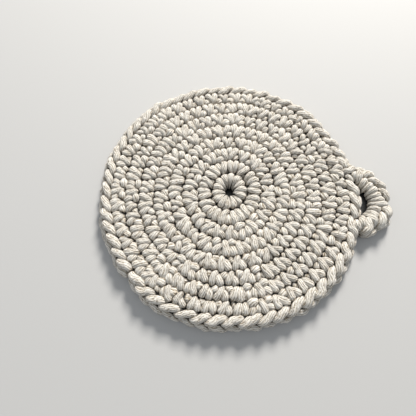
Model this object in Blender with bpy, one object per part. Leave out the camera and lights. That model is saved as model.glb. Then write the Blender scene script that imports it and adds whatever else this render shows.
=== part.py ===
"""A round crocheted pot holder in thick cotton cord, lying flat, with a hanging loop at +X.

Metres, +Z up. The origin is the middle of the underside of the whole piece. The disc is worked in
rounds from a small ring, so its top has one low ridge for each round and a rim where the last
round's edge turns over. The loop is a flat strip bent into an arch against the rim.
"""

import math

import bmesh
import bpy
import numpy as np

# The disc
RIM_RADIUS = 0.095
HOLE_RADIUS = 0.003
ROUNDS = 8
FIRST_ROUND_RADIUS = 0.0156
ROUND_PITCH = 0.01075
THICKNESS = 0.0120
VALLEY_DEPTH = 0.0016
VALLEY_HALF_WIDTH = 0.0024
DISC_SEGMENTS = 96

# How far the rounds lie off the rim's centre, towards -Y: fully inside the first radius, and not at all
# outside the second
OFF_CENTRE = 0.0024
OFF_CENTRE_INSIDE = 0.048
OFF_CENTRE_OUTSIDE = 0.093

# The rim's section outside the last valley: inset from the rim's radius, and height
RIM_SECTION = (
    {"inset": 0.0030, "height": 0.0102},
    {"inset": 0.0011, "height": 0.0090},
    {"inset": 0.0, "height": 0.0066},
    {"inset": 0.0, "height": 0.0040},
    {"inset": 0.0010, "height": 0.0014},
    {"inset": 0.0030, "height": 0.0},
)

# How far the rim is from a true circle. The loop is at 0 degrees, and angles run anticlockwise.
RIM_SHAPE = (
    {"degrees": 0, "share": 0.990},
    {"degrees": 18, "share": 0.979},
    {"degrees": 34, "share": 0.962},
    {"degrees": 56, "share": 1.011},
    {"degrees": 76, "share": 0.997},
    {"degrees": 102, "share": 1.008},
    {"degrees": 126, "share": 1.010},
    {"degrees": 152, "share": 1.024},
    {"degrees": 186, "share": 0.996},
    {"degrees": 226, "share": 0.984},
    {"degrees": 255, "share": 1.012},
    {"degrees": 273, "share": 0.994},
    {"degrees": 308, "share": 0.990},
    {"degrees": 342, "share": 0.976},
)

# The hanging loop: an arch around a centre that lies just inside the rim
LOOP_CENTRE_X = 0.0884
LOOP_INNER_RADIUS = 0.0150
LOOP_OUTER_RADIUS = 0.0283
LOOP_THICKNESS = 0.0100
LOOP_SEGMENTS = 31
LOOP_SECTION = (
    {"from_inside": 0.0, "height": 0.0030},
    {"from_inside": 0.0, "height": 0.0070},
    {"from_inside": 0.0016, "height": 0.0092},
    {"from_inside": 0.0046, "height": LOOP_THICKNESS},
    {"from_inside": 0.0090, "height": LOOP_THICKNESS},
    {"from_inside": 0.0118, "height": 0.0088},
    {"from_inside": LOOP_OUTER_RADIUS - LOOP_INNER_RADIUS, "height": 0.0062},
    {"from_inside": LOOP_OUTER_RADIUS - LOOP_INNER_RADIUS, "height": 0.0034},
    {"from_inside": 0.0120, "height": 0.0010},
    {"from_inside": 0.0098, "height": 0.0},
    {"from_inside": 0.0032, "height": 0.0},
    {"from_inside": 0.0010, "height": 0.0008},
)
LOOP_GAP = 0.0005

CORD_COLOUR = (0.62, 0.575, 0.50, 1.0)
CORD_ROUGHNESS = 0.9


def clear_scene():
    """Removes every object that the scene starts with."""
    for obj in list(bpy.data.objects):
        bpy.data.objects.remove(obj)


def rim_share(angle):
    """The rim's radius over the mean one at an angle in radians, eased between the rows of RIM_SHAPE."""
    degrees = math.degrees(angle) % 360
    rows = RIM_SHAPE + ({"degrees": 360, "share": RIM_SHAPE[0]["share"]},)
    for low, high in zip(rows, rows[1:]):
        if degrees <= high["degrees"]:
            part = (degrees - low["degrees"]) / (high["degrees"] - low["degrees"])
            eased = part * part * (3 - 2 * part)
            return low["share"] + (high["share"] - low["share"]) * eased
    return RIM_SHAPE[0]["share"]


def uneven(radius, angle):
    """A radius moved out or in with the rim, by less and less towards the centre."""
    weight = (radius / RIM_RADIUS) ** 2
    return radius * (1 + (rim_share(angle) - 1) * weight)


def off_centre(radius):
    """How far a round of some radius lies off the rim's centre, towards -Y."""
    part = (radius - OFF_CENTRE_INSIDE) / (OFF_CENTRE_OUTSIDE - OFF_CENTRE_INSIDE)
    part = min(1.0, max(0.0, part))
    return OFF_CENTRE * (1 - part * part * (3 - 2 * part))


def disc_section():
    """The disc's half section as (radius, height) points, from the hole's foot outwards and back over the top."""
    valley_height = THICKNESS - VALLEY_DEPTH
    points = [(HOLE_RADIUS, 0.0)]
    points += [(RIM_RADIUS - row["inset"], row["height"]) for row in reversed(RIM_SECTION)]
    for number in reversed(range(ROUNDS)):
        outer = FIRST_ROUND_RADIUS + number * ROUND_PITCH
        inner = outer - ROUND_PITCH if number else HOLE_RADIUS
        points.append((outer, valley_height))
        points.append((outer - VALLEY_HALF_WIDTH, THICKNESS))
        points.append((inner + VALLEY_HALF_WIDTH, THICKNESS))
    points.append((HOLE_RADIUS, valley_height))
    return points


def mesh_from_rings(name, rings, closed):
    """A mesh through rings of points that all have the same count: a torus if closed, else with two end caps."""
    mesh = bpy.data.meshes.new(name)
    body = bmesh.new()
    made = [[body.verts.new(point) for point in ring] for ring in rings]
    pairs = list(zip(made, made[1:]))
    if closed:
        pairs.append((made[-1], made[0]))
    for first, second in pairs:
        for i in range(len(first)):
            j = (i + 1) % len(first)
            body.faces.new((first[i], first[j], second[j], second[i]))
    if not closed:
        body.faces.new(reversed(made[0]))
        body.faces.new(made[-1])
    bmesh.ops.recalc_face_normals(body, faces=body.faces)
    body.to_mesh(mesh)
    body.free()
    return mesh


def add_node(name, mesh, material, parent):
    """An object for one piece, shaded smooth but for its real edges."""
    mesh.shade_smooth()
    mesh.set_sharp_from_angle(angle=math.radians(50))
    mesh.materials.append(material)
    node = bpy.data.objects.new(name, mesh)
    node.parent = parent
    bpy.context.scene.collection.objects.link(node)
    return node


def cord_material():
    """The undyed cotton cord that both pieces are worked in."""
    material = bpy.data.materials.new("cotton_cord")
    material.use_nodes = True
    shader = material.node_tree.nodes["Principled BSDF"]
    shader.inputs["Base Color"].default_value = CORD_COLOUR
    shader.inputs["Roughness"].default_value = CORD_ROUGHNESS
    shader.inputs["Metallic"].default_value = 0.0
    return material


def disc_mesh():
    """The disc: its section turned about the centre, with an uneven rim and its inner rounds off centre."""
    section = disc_section()
    rings = []
    for step in range(DISC_SEGMENTS):
        angle = 2 * math.pi * step / DISC_SEGMENTS
        ring = []
        for radius, height in section:
            out = uneven(radius, angle)
            ring.append((out * math.cos(angle), out * math.sin(angle) - off_centre(radius), height))
        rings.append(ring)
    return mesh_from_rings("disc", rings, closed=True)


def clears_rim(radius, turn):
    """Whether a point of the loop, at a turn about the loop's own centre, lies outside the rim and its gap."""
    x = LOOP_CENTRE_X + radius * math.cos(turn)
    y = radius * math.sin(turn)
    return math.hypot(x, y) > RIM_RADIUS * rim_share(math.atan2(y, x)) + LOOP_GAP


def last_turn(radius, side):
    """How far the arch can be followed from its tip, to one side, before it meets the rim."""
    clear, blocked = 0.0, side * math.pi
    for _ in range(40):
        middle = (clear + blocked) / 2
        if clears_rim(radius, middle):
            clear = middle
        else:
            blocked = middle
    return clear


def loop_mesh():
    """The loop: its section carried round the arch, with both ends cut to the rim's shape."""
    section = [(LOOP_INNER_RADIUS + row["from_inside"], row["height"]) for row in LOOP_SECTION]
    ends = [(last_turn(radius, -1), last_turn(radius, 1)) for radius, height in section]
    rings = []
    for step in range(LOOP_SEGMENTS + 1):
        part = step / LOOP_SEGMENTS
        ring = []
        for (radius, height), (start, end) in zip(section, ends):
            turn = start + (end - start) * part
            ring.append((LOOP_CENTRE_X + radius * math.cos(turn), radius * math.sin(turn), height))
        rings.append(ring)
    return mesh_from_rings("hanging_loop", rings, closed=False)


def centre_on_box(parent, meshes):
    """Moves the parent so that the middle of the whole piece's box is at X = Y = 0."""
    points = np.array([vertex.co for mesh in meshes for vertex in mesh.vertices])
    middle = (points.min(axis=0) + points.max(axis=0)) / 2
    parent.location = (-middle[0], -middle[1], 0.0)


def main():
    clear_scene()
    parent = bpy.data.objects.new("pot_holder", None)
    bpy.context.scene.collection.objects.link(parent)
    material = cord_material()
    meshes = {"disc": disc_mesh(), "hanging_loop": loop_mesh()}
    for name, mesh in meshes.items():
        add_node(name, mesh, material, parent)
    centre_on_box(parent, meshes.values())


main()
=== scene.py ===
"""The looks of a round crocheted pot holder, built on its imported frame.

The disc and the loop are made as the real ones are: one cord is led through every stitch, the whole
is then let settle until its strands press on each other, and the cord is swept along the path.
Lengths in the tables are millimetres, and MM turns them into Blender's metres.
"""

import math

import bpy
import numpy as np
from mathutils import Matrix, Vector
from mathutils.kdtree import KDTree


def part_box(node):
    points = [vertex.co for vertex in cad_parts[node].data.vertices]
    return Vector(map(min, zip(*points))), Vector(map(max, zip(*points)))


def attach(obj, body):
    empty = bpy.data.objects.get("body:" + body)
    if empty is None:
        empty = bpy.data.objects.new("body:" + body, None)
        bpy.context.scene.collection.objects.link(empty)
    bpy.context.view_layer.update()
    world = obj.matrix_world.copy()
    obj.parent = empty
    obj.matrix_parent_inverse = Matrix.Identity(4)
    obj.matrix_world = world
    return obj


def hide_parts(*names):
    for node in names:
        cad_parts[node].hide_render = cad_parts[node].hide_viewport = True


MM = 0.001

# The cord: its radius, how close two strands come as a share of their radii, the height that each stays
# under by that share of its radius, and the step along the cord and the sides around it in its mesh
CORD_RADIUS = 2.45
CONTACT_SHARE = 0.90
TOP = 11.9
RING_STEP = 1.25
SIDES = 16

# The disc's rounds, each worked into the chain of the one before. A HEIGHT is the length of a stitch's
# legs as a share of the table's, and SHORTER is how much nearer to the middle its chain link lies.
ROUNDS = 8
STITCHES_ADDED = 7
FIRST_CHAIN_RADIUS = 18.4
ROUND_PITCH = 10.75
CORE_RADIUS = 5.6
RIM_RADIUS = 95.0
FIRST_HEIGHT = 1.25
FIRST_SHORTER = -2.05
LAST_HEIGHT = 0.70
LAST_SHORTER = 2.7

# How far the rounds lie off the rim's centre, towards -Y: fully inside the first radius, and not at all
# outside the second. The very middle moves by a share of it.
OFF_CENTRE = 2.4
OFF_CENTRE_INSIDE = 48.0
OFF_CENTRE_OUTSIDE = 93.0
OFF_CENTRE_HOLE_SHARE = 0.5

# How much longer in Y and shorter in X those rounds are, in millimetres of radius
OVAL = 1.5

# Where the frame's disc is measured: how near the hole's expected middle its edge lies, and the height at
# which the rim is widest
HOLE_WITHIN = 4.2
WIDEST_UP = 4.0

# Which hole a stitch is worked into, as shares of the spacing: how far past a stitch of the round before
# it lies, and how far two stitches in one hole lie to each side of it
HOLE_LAG = 0.46
PAIR_SPREAD = 0.16

# The loop: a row of stitches worked over a short chain that is bent into an arch
LOOP_OUTER_RADIUS = 28.3
LOOP_CORE_RADIUS = 19.6
LOOP_CORE_UP = 5.0
LOOP_CORE_FAT = 0.95
LOOP_CORE_ROWS = 15
LOOP_HEIGHT = 0.30
LOOP_SHORTER = 7.9
LOOP_STITCHES = 7
LOOP_SPACING = math.radians(24.5)
LOOP_TUCK = math.radians(97)

# One stitch of single crochet as the cord runs, but for its chain link. "along" is a share of the
# stitch spacing from the stitch's middle towards the next stitch, "out" runs outwards from the chain
# of the round before, "up" is the height above the table and "fat" the cord's thickness there.
STITCH = (
    {"along": -0.62, "out": 6.5, "up": 2.6, "fat": 0.90},
    {"along": -0.36, "out": 2.0, "up": 2.4, "fat": 0.92},
    {"along": -0.10, "out": -1.8, "up": 2.4, "fat": 0.66},
    {"along": -0.04, "out": -3.0, "up": 4.2, "fat": 0.60},
    {"along": -0.09, "out": -2.5, "up": 7.0, "fat": 0.80},
    {"along": -0.14, "out": -0.8, "up": 8.8, "fat": 0.94},
    {"along": -0.20, "out": 2.2, "up": 9.4, "fat": 1.08},
    {"along": -0.25, "out": 5.0, "up": 9.0, "fat": 1.18},
    {"along": -0.26, "out": 6.8, "up": 6.8, "fat": 0.94},
    {"along": 0.00, "out": 8.0, "up": 4.0, "fat": 0.74},
    {"along": 0.26, "out": 6.8, "up": 6.8, "fat": 0.94},
    {"along": 0.25, "out": 5.1, "up": 9.0, "fat": 1.16},
    {"along": 0.20, "out": 2.5, "up": 9.4, "fat": 1.06},
    {"along": 0.15, "out": -0.3, "up": 8.8, "fat": 0.94},
    {"along": 0.10, "out": -1.9, "up": 7.0, "fat": 0.80},
    {"along": 0.04, "out": -2.6, "up": 4.2, "fat": 0.60},
    {"along": 0.12, "out": -1.6, "up": 2.4, "fat": 0.66},
    {"along": 0.30, "out": 2.0, "up": 2.4, "fat": 0.92},
    {"along": 0.32, "out": 6.0, "up": 2.6, "fat": 0.90},
)

# The chain link on top of a stitch that another round is worked into: its front strand humps up
# between the next round's stitches
INNER_LINK = (
    {"along": 0.12, "out": 9.0, "up": 3.2, "fat": 0.70},
    {"along": 0.00, "out": 11.4, "up": 3.4, "fat": 0.66},
    {"along": 0.22, "out": 12.2, "up": 3.6, "fat": 0.66},
    {"along": 0.50, "out": 12.0, "up": 3.8, "fat": 0.66},
    {"along": 0.70, "out": 11.2, "up": 6.8, "fat": 0.86},
    {"along": 0.84, "out": 10.0, "up": 9.0, "fat": 1.22},
    {"along": 1.01, "out": 8.6, "up": 9.1, "fat": 1.24},
    {"along": 1.18, "out": 7.9, "up": 7.0, "fat": 0.92},
    {"along": 1.30, "out": 10.8, "up": 3.8, "fat": 0.66},
    {"along": 1.08, "out": 12.8, "up": 2.6, "fat": 0.70},
    {"along": 0.70, "out": 13.0, "up": 2.4, "fat": 0.76},
    {"along": 0.30, "out": 12.6, "up": 2.4, "fat": 0.76},
    {"along": 0.00, "out": 11.0, "up": 2.4, "fat": 0.74},
    {"along": 0.08, "out": 8.6, "up": 2.4, "fat": 0.80},
)

# The chain link at a free edge: both strands start together under the link before, the front one lies
# slanted on top, the back one swings outside, and they meet round the start of the next link
EDGE_LINK = (
    {"along": 0.10, "out": 9.0, "up": 3.8, "fat": 0.80},
    {"along": -0.02, "out": 10.8, "up": 5.6, "fat": 0.84},
    {"along": 0.14, "out": 12.4, "up": 7.6, "fat": 1.00},
    {"along": 0.42, "out": 11.6, "up": 8.9, "fat": 1.13},
    {"along": 0.74, "out": 9.8, "up": 8.9, "fat": 1.15},
    {"along": 1.02, "out": 8.6, "up": 7.8, "fat": 1.02},
    {"along": 1.24, "out": 9.2, "up": 5.8, "fat": 0.84},
    {"along": 1.32, "out": 11.4, "up": 4.4, "fat": 0.80},
    {"along": 1.20, "out": 13.6, "up": 4.8, "fat": 0.92},
    {"along": 0.88, "out": 14.8, "up": 5.6, "fat": 1.06},
    {"along": 0.50, "out": 14.6, "up": 6.0, "fat": 1.06},
    {"along": 0.18, "out": 13.2, "up": 5.4, "fat": 0.90},
    {"along": 0.00, "out": 11.4, "up": 3.8, "fat": 0.84},
    {"along": 0.05, "out": 9.0, "up": 3.0, "fat": 0.86},
)

# The first round's links lie low, because the second round covers them
LOW_LINK_UP = 5.6
LOW_LINK_FAT = 0.90

# A strand between two neighbours can't be much wider than the room there, as far out as this
CROWDING = 1.25
CROWDED_TO = 7.3

# The rows of a stitch that run further out than this belong to its link
LEG_END = 8.5

# Where a stitch starts to turn from its hole's angle to its top's, and over what length it does
TURN_FROM = -4.0
TURN_LENGTH = ROUND_PITCH + 2.0

# How unlike each other the stitches are. Only rows above a height vary in height.
ALONG_JITTER = 0.045
OUT_JITTER = 0.55
UP_JITTER = 0.35
UP_JITTER_ABOVE = 7.0
FAT_JITTER = 0.07
SEED = 11

# Settling: its steps, how often strands look for their neighbours and how far beyond contact, and the
# share by which a point moves towards its neighbours' middle and towards its first place
SETTLE_STEPS = 60
PAIR_EVERY = 15
PAIR_MARGIN = 1.5
SMOOTHING = 0.25
HOMING = 0.03

# How many points the curve has between two rows before it is read off at even steps
CURVE_PARTS = 8

# Any direction that the first strand doesn't run in, for the first normal along a cord
START_DIRECTION = (0.3, 0.5, 0.8)

# How far strands shade each other for the painted crevice shade, the least squared distance that counts, and
# the shade where the painted shade of a crevice starts and where it is darkest
SHADE_REACH = 7.5
SHADE_SOFTENING = 1.0
SHADE_FROM = 0.36
SHADE_FULL = 0.74

# The cord's yarns: how many lie side by side around it, how fast they wind in radians a metre, and the
# noises that make them uneven, in the space of (cos, sin, length) around and along the cord
YARNS = 11
YARN_SCALE = 3.0
YARN_STRETCH = 120.0
YARN_TWIST = 110.0
YARN_WOBBLE = 5.0
HAIR_SCALE = 9.0
HAIR_GAIN = 1.4
NOISE_ROUGHNESS = 0.6

# The cotton's colours as stops of (place, colour): from between the yarns to their tops, with painted shade
# between the yarns, the cotton's own colour and a painted highlight on their tops; and from the open to the
# deepest crevice, painted shade between the strands, which multiplies the first
YARN_COLOUR_HIGHLIGHT_AND_SHADE_STOPS = ((0.03, (0.21, 0.165, 0.11)), (0.27, (0.68, 0.615, 0.52)), (0.60, (0.91, 0.865, 0.79)))
PAINTED_CREVICE_SHADE_STOPS = ((0.0, (1.0, 1.0, 1.0)), (0.34, (0.74, 0.68, 0.59)), (0.62, (0.02, 0.014, 0.01)))

# The yarns' and the hairs' relief: strength and depth in millimetres
YARN_RELIEF = (1.0, 0.7)
HAIR_RELIEF = (0.35, 0.4)

# The cotton's surface
COTTON = {"Roughness": 0.9, "Specular IOR Level": 0.2, "Sheen Weight": 0.25, "Sheen Roughness": 0.5}

# The floor, in metres: half its width, how near the piece darkens it with painted shade, and its colours
# from where it is nearly shut in, painted shade, to the open, its own even colour
FLOOR_HALF_WIDTH = 1.5
FLOOR_PAINTED_SHADE_REACH = 0.016
FLOOR_COLOUR_AND_PAINTED_SHADE_STOPS = ((0.12, (0.012, 0.011, 0.01)), (0.42, (0.44, 0.435, 0.427)))
FLOOR_ROUGHNESS = 0.9

# The light: square lamps that face the middle of the piece, in metres and watts, and an even surround
LAMPS = (
    {"name": "key", "place": (0.23, 1.20, 0.86), "size": 0.35, "watts": 42.5, "colour": (1.0, 0.97, 0.92)},
    {"name": "fill", "place": (-0.4, -0.3, 0.6), "size": 0.6, "watts": 0.6, "colour": (0.93, 0.96, 1.0)},
)
SURROUND_COLOUR = (0.9, 0.95, 1.0, 1.0)
SURROUND_STRENGTH = 0.50

# The camera, in metres in the part's frame, and the lens for a 36 mm wide sensor
CAMERA_PLACE = (-0.01346, -0.08868, 0.19828)
CAMERA_TARGET = (-0.02562, -0.01377, 0.0)
CAMERA_ROLL = -3.2
CAMERA_LENS = 24.2


def smooth(share):
    """The cubic ease from 0 to 1: 3 s^2 - 2 s^3."""
    share = np.clip(share, 0.0, 1.0)
    return share * share * (3.0 - 2.0 * share)


def disc_centre(disc):
    """The centre of the disc's rim, in millimetres, read from where the hole of the frame's disc lies."""
    points = np.array([vertex.co for vertex in disc.data.vertices]) / MM
    middle = (points.min(axis=0) + points.max(axis=0)) / 2
    near = np.hypot(points[:, 0] - middle[0], points[:, 1] - middle[1] + OFF_CENTRE) < HOLE_WITHIN
    hole = points[near]
    centre = (hole.min(axis=0) + hole.max(axis=0)) / 2
    return np.array([centre[0], centre[1] + OFF_CENTRE, 0.0])


def rim_shares(disc, centre):
    """The rim's angles and its radii over the mean one, read from the widest ring of the frame's disc."""
    points = np.array([vertex.co for vertex in disc.data.vertices]) / MM - centre
    widest = points[np.abs(points[:, 2] - WIDEST_UP) < 0.1]
    widest = widest[np.hypot(widest[:, 0], widest[:, 1]) > 0.8 * RIM_RADIUS]
    angles = np.arctan2(widest[:, 1], widest[:, 0])
    order = np.argsort(angles)
    return angles[order], (np.hypot(widest[:, 0], widest[:, 1]) / RIM_RADIUS)[order]


def spline(points, step):
    """A closed Catmull-Rom curve through rows of numbers, at even steps of its first three columns."""
    before, after = np.roll(points, 1, axis=0), np.roll(points, -1, axis=0)
    later = np.roll(points, -2, axis=0)
    t = np.linspace(0, 1, CURVE_PARTS, endpoint=False)[None, :, None]
    p0, p1, p2, p3 = (rows[:, None] for rows in (before, points, after, later))
    squared = (2 * p0 - 5 * p1 + 4 * p2 - p3) * t**2
    cubed = (3 * p1 - p0 - 3 * p2 + p3) * t**3
    fine = 0.5 * (2 * p1 + (p2 - p0) * t + squared + cubed)
    return even(fine.reshape(-1, points.shape[1]), step)


def even(points, step):
    """The same closed line of rows, with its points an even step apart."""
    closed = np.vstack([points, points[:1]])
    lengths = np.linalg.norm(np.diff(closed[:, :3], axis=0), axis=1)
    run = np.concatenate([[0.0], np.cumsum(lengths)])
    count = round(run[-1] / step)
    wanted = np.linspace(0, run[-1], count, endpoint=False)
    return np.stack([np.interp(wanted, run, column) for column in closed.T], axis=1)


def holes_of(number, tops_before):
    """The angle of the hole that each stitch of a round is worked into, from the tops of the round before.

    Each seventh of the round takes one stitch more than the round before it has there, so one of its
    holes takes two.
    """
    spacing = 2 * math.pi / len(tops_before)
    doubled = (5 * number) % (number - 1)
    holes = []
    for stitch in range(STITCHES_ADDED * number):
        sector, place = divmod(stitch, number)
        parent = sector * (number - 1) + (place if place <= doubled else place - 1)
        shift = {doubled: -PAIR_SPREAD, doubled + 1: PAIR_SPREAD}.get(place, 0.0)
        holes.append(tops_before[parent] + (HOLE_LAG + shift) * spacing)
    return np.unwrap(np.array(holes))


def stitch_rows(table, hole, top, spacing, inner, height, shorter, rng):
    """One stitch as rows of angle, radius, height above the table and thickness, about the round's middle.

    The stitch turns from the angle of its hole to the angle of its top on its way out. Its legs are
    height times as long as in the table, and its link lies a length nearer the middle.
    """
    jitter = rng.normal(0, 1, 4) * (ALONG_JITTER, OUT_JITTER, UP_JITTER, FAT_JITTER)
    rows = []
    for row in table:
        rise = smooth((row["out"] - TURN_FROM) / TURN_LENGTH)
        angle = hole * (1 - rise) + top * rise + (row["along"] + jitter[0]) * spacing
        out = row["out"]
        if out > LEG_END:
            out -= shorter
        elif out > 0:
            out *= height
        radius = inner + out + jitter[1] * rise
        up = row["up"] + jitter[2] * (row["up"] > UP_JITTER_ABOVE)
        room = CROWDING * radius * spacing / 4 / CORD_RADIUS
        fat = min(row["fat"], room) if row["out"] < CROWDED_TO else row["fat"]
        rows.append((angle, radius, up, fat * (1 + jitter[3])))
    return rows


def lowered(link):
    """A chain link that lies flatter and thinner."""
    rows = []
    for row in link:
        rows.append({**row, "up": min(row["up"], LOW_LINK_UP), "fat": min(row["fat"], LOW_LINK_FAT)})
    return tuple(rows)


def placed(rows, centre):
    """Rows of angle, radius, height and thickness as rows of x, y, z and thickness about a centre."""
    angle, radius, up, fat = np.array(rows).T
    return np.column_stack([centre[0] + radius * np.cos(angle), centre[1] + radius * np.sin(angle), up, fat])


def round_rows(number, tops_before, rng):
    """The cord's path through one round, and the angles of its stitches' tops."""
    count = STITCHES_ADDED * number
    spacing = 2 * math.pi / count
    turns = spacing * np.arange(count)
    if number == 1:
        tops = holes = turns
        inner, height, shorter = CORE_RADIUS, FIRST_HEIGHT, FIRST_SHORTER
    else:
        holes = holes_of(number, tops_before)
        tops = turns + np.mean(holes - turns)
        inner, height, shorter = FIRST_CHAIN_RADIUS + ROUND_PITCH * (number - 2), 1.0, 0.0
    table = STITCH + (lowered(INNER_LINK) if number == 1 else INNER_LINK)
    if number == ROUNDS:
        table, height, shorter = STITCH + EDGE_LINK, LAST_HEIGHT, LAST_SHORTER
    rows = []
    for hole, top in zip(holes, tops):
        rows += stitch_rows(table, hole, top, spacing, inner, height, shorter, rng)
    return placed(rows, (0.0, 0.0)), tops


def uneven(path, angles, shares):
    """The path moved with the frame's uneven rim, by less and less towards the centre.

    Its inner rounds lie off the centre and are a little oval.
    """
    radius = np.hypot(path[:, 0], path[:, 1])
    share = np.interp(np.arctan2(path[:, 1], path[:, 0]), angles, shares, period=2 * math.pi)
    scale = 1 + (share - 1) * (radius / RIM_RADIUS) ** 2
    inner = 1 - smooth((radius - OFF_CENTRE_INSIDE) / (OFF_CENTRE_OUTSIDE - OFF_CENTRE_INSIDE))
    hole = np.minimum(1.0, radius / FIRST_CHAIN_RADIUS)
    longer = OVAL * inner * hole / radius
    path[:, 0] *= scale * (1 - longer)
    path[:, 1] *= scale * (1 + longer)
    path[:, 1] -= OFF_CENTRE * inner * (OFF_CENTRE_HOLE_SHARE + (1 - OFF_CENTRE_HOLE_SHARE) * hole)
    return path


def disc_paths(angles, shares, rng):
    """Each round's path, from the centre outwards."""
    paths, tops = [], None
    for number in range(1, ROUNDS + 1):
        rows, tops = round_rows(number, tops, rng)
        paths.append(spline(uneven(rows, angles, shares), RING_STEP))
    return paths


def loop_path(middle, rng):
    """The loop's path: stitches along the arch, then back inside them as the chain they are worked over."""
    table = STITCH + EDGE_LINK
    sizes = (LOOP_SPACING, LOOP_CORE_RADIUS, LOOP_HEIGHT, LOOP_SHORTER)
    rows = []
    for stitch in range(LOOP_STITCHES):
        angle = (stitch - (LOOP_STITCHES - 1) / 2) * LOOP_SPACING
        rows += stitch_rows(table, angle, angle, *sizes, rng)
    for angle in np.linspace(LOOP_TUCK, -LOOP_TUCK, LOOP_CORE_ROWS):
        rows.append((angle, LOOP_CORE_RADIUS, LOOP_CORE_UP, LOOP_CORE_FAT))
    return spline(placed(rows, middle), RING_STEP)


def nearby_pairs(points, reach, owner, place, lengths):
    """Index pairs of points within reach of each other that aren't close along the same cord."""
    tree = KDTree(len(points))
    for i, point in enumerate(points):
        tree.insert(point, i)
    tree.balance()
    pairs = [(i, j) for i, point in enumerate(points) for _, j, _ in tree.find_range(point, reach) if j > i]
    first, second = np.array(pairs).T
    apart = np.abs(place[first] - place[second])
    apart = np.minimum(apart, lengths[first] - apart)
    keep = (owner[first] != owner[second]) | (apart > round(2.0 * CORD_RADIUS / RING_STEP))
    return first[keep], second[keep]


def joined(paths):
    """All the paths' rows one after another, with each row's path, its place on it and its path's length."""
    owner = np.concatenate([np.full(len(path), i) for i, path in enumerate(paths)])
    place = np.concatenate([np.arange(len(path)) for path in paths])
    lengths = np.concatenate([np.full(len(path), len(path)) for path in paths])
    return np.concatenate(paths), owner, place, lengths


def settle(paths):
    """Lets the strands push apart where they overlap, while each stays smooth and near where it was led.

    Each step moves every point towards the middle of its neighbours, back towards its first place, and
    away from any strand that is nearer than the two radii.
    """
    rows, owner, place, lengths = joined(paths)
    points, fat = rows[:, :3], rows[:, 3]
    starts = np.cumsum([0] + [len(path) for path in paths])[owner]
    before = starts + (place - 1) % lengths
    after = starts + (place + 1) % lengths
    home = points.copy()
    radius = CORD_RADIUS * CONTACT_SHARE * fat
    for step in range(SETTLE_STEPS):
        if step % PAIR_EVERY == 0:
            first, second = nearby_pairs(points, 2 * CORD_RADIUS + PAIR_MARGIN, owner, place, lengths)
        middle = (points[before] + points[after]) / 2
        points = points + SMOOTHING * (middle - points) + HOMING * (home - points)
        gap = points[second] - points[first]
        distance = np.linalg.norm(gap, axis=1) + 1e-6
        short = radius[first] + radius[second] - distance
        hit = short > 0
        push = (0.5 * short[hit] / distance[hit])[:, None] * gap[hit]
        moves = np.zeros_like(points)
        count = np.bincount(np.concatenate([first[hit], second[hit]]), minlength=len(points))
        for axis in range(3):
            moves[:, axis] -= np.bincount(first[hit], push[:, axis], len(points))
            moves[:, axis] += np.bincount(second[hit], push[:, axis], len(points))
        points += moves / np.maximum(1, 0.5 * count)[:, None]
        points[:, 2] = np.clip(points[:, 2], radius, TOP - radius)
    out = []
    for i in range(len(paths)):
        mine = owner == i
        out.append(even(np.column_stack([points[mine], fat[mine]]), RING_STEP))
    return out


def unit(vectors):
    """The vectors at length 1."""
    return vectors / np.linalg.norm(vectors, axis=-1, keepdims=True)


def carried_normals(tangents):
    """A normal for each tangent of a closed line, with no twist but the little that closes it."""
    normals = np.empty_like(tangents)
    normal = np.cross(tangents[0], START_DIRECTION)
    for i, tangent in enumerate(tangents):
        normal = normal - (normal @ tangent) * tangent
        normal = normal / math.sqrt(normal @ normal)
        normals[i] = normal
    sides = np.cross(tangents, normals)
    last = normals[-1] - (normals[-1] @ tangents[0]) * tangents[0]
    gap = math.atan2(last @ sides[0], last @ normals[0])
    turn = (-gap * np.arange(len(tangents)) / len(tangents))[:, None]
    return normals * np.cos(turn) + sides * np.sin(turn)


def tube(rows):
    """The cord's surface along a closed path: circle points p + r (cos a n + sin a b) at each row."""
    path, fat = rows[:, :3], rows[:, 3]
    tangents = unit(np.roll(path, -1, axis=0) - np.roll(path, 1, axis=0))
    normals = carried_normals(tangents)
    sides = np.cross(tangents, normals)
    cosines, sines = np.cos(ring_angles()), np.sin(ring_angles())
    ring = normals[:, None] * cosines[None, :, None] + sides[:, None] * sines[None, :, None]
    points = path[:, None] + ring * (CORD_RADIUS * fat)[:, None, None]
    points[..., 2] = np.maximum(points[..., 2], 0.0)
    return points


def ring_angles():
    """The angles of the points around the cord."""
    return 2 * math.pi * np.arange(SIDES) / SIDES


def painted_crevice_shade_shares(surfaces, paths):
    """How deep each surface point lies between the strands, from 0 in the open to 1, as painted shade for
    the colour.

    The sum over the nearby points p of other strands, seen from the surface point q with the normal n,
    of the form factor of a short piece of strand: step * 2 r cos(n, p - q) / (pi |p - q|^2).
    """
    rows, owner, place, lengths = joined(paths)
    points, radius = rows[:, :3], CORD_RADIUS * rows[:, 3]
    low, high = nearby_pairs(points, SHADE_REACH, owner, place, lengths)
    first, second = np.concatenate([low, high]), np.concatenate([high, low])
    surface = np.concatenate(surfaces)
    width = RING_STEP * 2 * radius[second] / math.pi
    shade = np.zeros(surface.shape[:2])
    for side in range(SIDES):
        spot = surface[:, side]
        normal = unit(spot - points)
        ray = points[second] - spot[first]
        square = (ray**2).sum(axis=1) + SHADE_SOFTENING
        facing = np.maximum(0.0, (ray * normal[first]).sum(axis=1)) / np.sqrt(square)
        shade[:, side] = np.bincount(first, width * facing / square, len(points))
    # the share of painted shade, from 0 in the open to 1 where it is darkest
    shares = np.clip((shade - SHADE_FROM) / (SHADE_FULL - SHADE_FROM), 0, 1)
    return np.split(shares, np.cumsum([len(path) for path in paths])[:-1])


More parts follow.
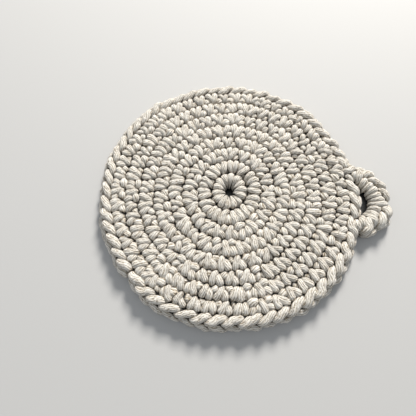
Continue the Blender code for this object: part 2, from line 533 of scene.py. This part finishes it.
def cord_mesh(name, points, painted_crevice_shades):
    """The mesh through a tube's rings.

    The attribute cord_place holds (cos a, sin a, length so far), for the yarns in the material, and
    a second attribute holds how deep a point lies between the strands, the share of painted shade there.
    """
    count = len(points)
    i = np.arange(count)[:, None]
    j = np.arange(SIDES)[None, :]
    following = (i + 1) % count
    beside = (j + 1) % SIDES
    corners = [i * SIDES + j, i * SIDES + beside, following * SIDES + beside, following * SIDES + j]
    faces = np.stack(corners, axis=-1)
    mesh = bpy.data.meshes.new(name)
    mesh.vertices.add(count * SIDES)
    mesh.vertices.foreach_set("co", (points * MM).astype(np.float32).ravel())
    mesh.loops.add(faces.size)
    mesh.loops.foreach_set("vertex_index", faces.astype(np.int32).ravel())
    mesh.polygons.add(faces.size // 4)
    mesh.polygons.foreach_set("loop_start", np.arange(0, faces.size, 4, dtype=np.int32))
    mesh.update(calc_edges=True)
    mesh.shade_smooth()
    along = np.repeat(np.arange(count) * RING_STEP * MM, SIDES)
    around = np.tile(ring_angles(), count)
    place = np.column_stack([np.cos(around), np.sin(around), along]).astype(np.float32)
    attribute = mesh.attributes.new("cord_place", "FLOAT_VECTOR", "POINT")
    attribute.data.foreach_set("vector", place.ravel())
    # painted shade: how deep each point lies between the strands, which darkens the colour there
    depth = mesh.attributes.new("painted_crevice_shade", "FLOAT", "POINT")
    depth.data.foreach_set("value", painted_crevice_shades.astype(np.float32).ravel())
    return mesh


def add_math(tree, operation, first, second=0.0):
    """A math node on a socket and on a second socket or a number, and its output."""
    node = tree.nodes.new("ShaderNodeMath")
    node.operation = operation
    tree.links.new(first, node.inputs[0])
    if isinstance(second, float):
        node.inputs[1].default_value = second
    else:
        tree.links.new(second, node.inputs[1])
    return node.outputs[0]


def add_noise(tree, vector, scale, detail):
    """A noise texture on a vector, and its value's output."""
    node = tree.nodes.new("ShaderNodeTexNoise")
    node.inputs["Scale"].default_value = scale
    node.inputs["Detail"].default_value = detail
    node.inputs["Roughness"].default_value = NOISE_ROUGHNESS
    tree.links.new(vector, node.inputs["Vector"])
    return node.outputs[0]


def add_ramp(tree, value, stops):
    """A colour ramp on a value, through stops of (place, colour), and its output."""
    node = tree.nodes.new("ShaderNodeValToRGB")
    while len(node.color_ramp.elements) < len(stops):
        node.color_ramp.elements.new(0.5)
    for element, (place, colour) in zip(node.color_ramp.elements, stops):
        element.position = place
        element.color = (*colour, 1.0)
    tree.links.new(value, node.inputs[0])
    return node.outputs[0]


def add_relief(tree, height, strength, depth):
    """A bump node on a height, with its depth in millimetres."""
    node = tree.nodes.new("ShaderNodeBump")
    node.inputs["Strength"].default_value = strength
    node.inputs["Distance"].default_value = depth * MM
    tree.links.new(height, node.inputs["Height"])
    return node


def yarn_space(tree):
    """The cord's own space of (cos, sin, length), turned along the cord so that its yarns wind about it."""
    attribute = tree.nodes.new("ShaderNodeAttribute")
    attribute.attribute_name = "cord_place"
    split = tree.nodes.new("ShaderNodeSeparateXYZ")
    tree.links.new(attribute.outputs["Vector"], split.inputs[0])
    turn = tree.nodes.new("ShaderNodeVectorRotate")
    turn.rotation_type = "Z_AXIS"
    tree.links.new(attribute.outputs["Vector"], turn.inputs["Vector"])
    tree.links.new(add_math(tree, "MULTIPLY", split.outputs[2], YARN_TWIST), turn.inputs["Angle"])
    stretch = tree.nodes.new("ShaderNodeVectorMath")
    stretch.operation = "MULTIPLY"
    tree.links.new(turn.outputs[0], stretch.inputs[0])
    stretch.inputs[1].default_value = (1.0, 1.0, YARN_STRETCH)
    return stretch.outputs[0]


def yarn_height(tree, vector, noise):
    """Rounded yarns side by side: |sin(N a / 2 + wobble)| over the angle a around the cord."""
    split = tree.nodes.new("ShaderNodeSeparateXYZ")
    tree.links.new(vector, split.inputs[0])
    angle = add_math(tree, "ARCTAN2", split.outputs[1], split.outputs[0])
    turned = add_math(tree, "MULTIPLY", angle, YARNS / 2)
    wobble = add_math(tree, "MULTIPLY", noise, YARN_WOBBLE)
    wave = add_math(tree, "SINE", add_math(tree, "ADD", turned, wobble))
    return add_math(tree, "ABSOLUTE", wave)


def cotton_material():
    """Undyed cotton cord: thin yarns side by side, lightly twisted, with fine hairs, painted highlight and
    shade on the yarns and painted shade in the crevices between strands.
    """
    material = bpy.data.materials.new("cotton_cord")
    material.use_nodes = True
    tree = material.node_tree
    shader = tree.nodes["Principled BSDF"]
    vector = yarn_space(tree)
    slow = add_noise(tree, vector, YARN_SCALE, 1.0)
    hairs = add_noise(tree, vector, HAIR_SCALE, 2.0)
    gain = add_math(tree, "MULTIPLY", hairs, HAIR_GAIN)
    yarns = add_math(tree, "MULTIPLY", yarn_height(tree, vector, slow), gain)
    # painted highlight on the yarns' tops and painted shade between them, about the cotton's own colour
    yarn_colour_highlight_and_shade = add_ramp(tree, yarns, YARN_COLOUR_HIGHLIGHT_AND_SHADE_STOPS)
    # painted shade: the colour is darkened in the crevices between the strands by how deep each point lies
    painted_crevice_shade = tree.nodes.new("ShaderNodeAttribute")
    painted_crevice_shade.attribute_name = "painted_crevice_shade"
    shade = add_ramp(tree, painted_crevice_shade.outputs["Fac"], PAINTED_CREVICE_SHADE_STOPS)
    mix = tree.nodes.new("ShaderNodeMix")
    mix.data_type = "RGBA"
    mix.blend_type = "MULTIPLY"
    mix.inputs["Factor"].default_value = 1.0
    tree.links.new(yarn_colour_highlight_and_shade, mix.inputs["A"])
    tree.links.new(shade, mix.inputs["B"])
    tree.links.new(mix.outputs["Result"], shader.inputs["Base Color"])
    coarse = add_relief(tree, yarns, *YARN_RELIEF)
    fine = add_relief(tree, hairs, *HAIR_RELIEF)
    tree.links.new(coarse.outputs[0], fine.inputs["Normal"])
    tree.links.new(fine.outputs[0], shader.inputs["Normal"])
    for name, value in COTTON.items():
        shader.inputs[name].default_value = value
    return material


def add_piece(name, points, painted_crevice_shades, material, nodes):
    """One piece of the crochet on the only body. It is cotton cord worked tight, so it is a firm pad."""
    mesh = cord_mesh(name, points, painted_crevice_shades)
    mesh.materials.append(material)
    piece = bpy.data.objects.new(name, mesh)
    bpy.context.scene.collection.objects.link(piece)
    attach(piece, "root")
    if nodes:
        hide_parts(*nodes)


def add_floor():
    """A plain pale floor, with painted shade where the piece shuts it in, as in the hole."""
    half = FLOOR_HALF_WIDTH
    corners = [(-half, -half, 0), (half, -half, 0), (half, half, 0), (-half, half, 0)]
    mesh = bpy.data.meshes.new("floor")
    mesh.from_pydata(corners, [], [(0, 1, 2, 3)])
    material = bpy.data.materials.new("floor")
    material.use_nodes = True
    tree = material.node_tree
    shader = tree.nodes["Principled BSDF"]
    shader.inputs["Roughness"].default_value = FLOOR_ROUGHNESS
    # painted shade: the floor's colour darkens where the piece shuts it in, by ambient occlusion
    painted_shade_shut_in = tree.nodes.new("ShaderNodeAmbientOcclusion")
    painted_shade_shut_in.inputs["Distance"].default_value = FLOOR_PAINTED_SHADE_REACH
    tree.links.new(add_ramp(tree, painted_shade_shut_in.outputs["AO"], FLOOR_COLOUR_AND_PAINTED_SHADE_STOPS), shader.inputs["Base Color"])
    mesh.materials.append(material)
    floor = bpy.data.objects.new("floor", mesh)
    bpy.context.scene.collection.objects.link(floor)


def add_lamp(name, place, size, watts, colour):
    """A square soft light that faces the middle of the piece."""
    light = bpy.data.lights.new(name, "AREA")
    light.energy = watts
    light.size = size
    light.color = colour
    lamp = bpy.data.objects.new(name, light)
    lamp.location = place
    lamp.rotation_euler = (-Vector(place)).to_track_quat("-Z", "Y").to_euler()
    bpy.context.scene.collection.objects.link(lamp)


def add_camera():
    """The camera at the photograph's angle."""
    data = bpy.data.cameras.new("camera")
    data.lens = CAMERA_LENS
    camera = bpy.data.objects.new("camera", data)
    aim = (Vector(CAMERA_TARGET) - Vector(CAMERA_PLACE)).to_track_quat("-Z", "Y").to_matrix()
    roll = Matrix.Rotation(math.radians(CAMERA_ROLL), 3, "Z")
    camera.rotation_euler = (aim @ roll).to_euler()
    camera.location = CAMERA_PLACE
    bpy.context.scene.collection.objects.link(camera)
    bpy.context.scene.camera = camera


def add_world():
    """An even pale surround."""
    world = bpy.data.worlds.new("studio")
    world.use_nodes = True
    background = world.node_tree.nodes["Background"]
    background.inputs["Color"].default_value = SURROUND_COLOUR
    background.inputs["Strength"].default_value = SURROUND_STRENGTH
    bpy.context.scene.world = world


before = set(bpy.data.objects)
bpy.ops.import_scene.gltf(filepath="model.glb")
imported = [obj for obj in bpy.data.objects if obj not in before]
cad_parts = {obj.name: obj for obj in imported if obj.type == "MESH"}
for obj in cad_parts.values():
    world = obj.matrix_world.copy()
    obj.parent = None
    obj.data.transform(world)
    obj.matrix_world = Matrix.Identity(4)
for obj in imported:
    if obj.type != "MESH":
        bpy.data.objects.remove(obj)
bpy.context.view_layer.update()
rng = np.random.default_rng(SEED)
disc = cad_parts["disc"]
centre = disc_centre(disc)
rim_angles, rim_radii = rim_shares(disc, centre)
loop_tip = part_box("hanging_loop")[1][0] / MM
loop_middle = (loop_tip - LOOP_OUTER_RADIUS - centre[0], 0.0)
cotton = cotton_material()
paths = settle([*disc_paths(rim_angles, rim_radii, rng), loop_path(loop_middle, rng)])
surfaces = [tube(rows) for rows in paths]
names = [f"round_{number}" for number in range(1, ROUNDS + 1)] + ["loop_cord"]
replaced = {"round_1": ["disc"], "loop_cord": ["hanging_loop"]}
# each piece gets the painted shade of its crevices between the strands
for name, points, painted_crevice_shades in zip(names, surfaces, painted_crevice_shade_shares(surfaces, paths)):
    add_piece(name, points + centre, painted_crevice_shades, cotton, replaced.get(name, []))
add_floor()
for lamp in LAMPS:
    add_lamp(**lamp)
add_world()
add_camera()
bpy.context.scene.view_settings.view_transform = "Standard"
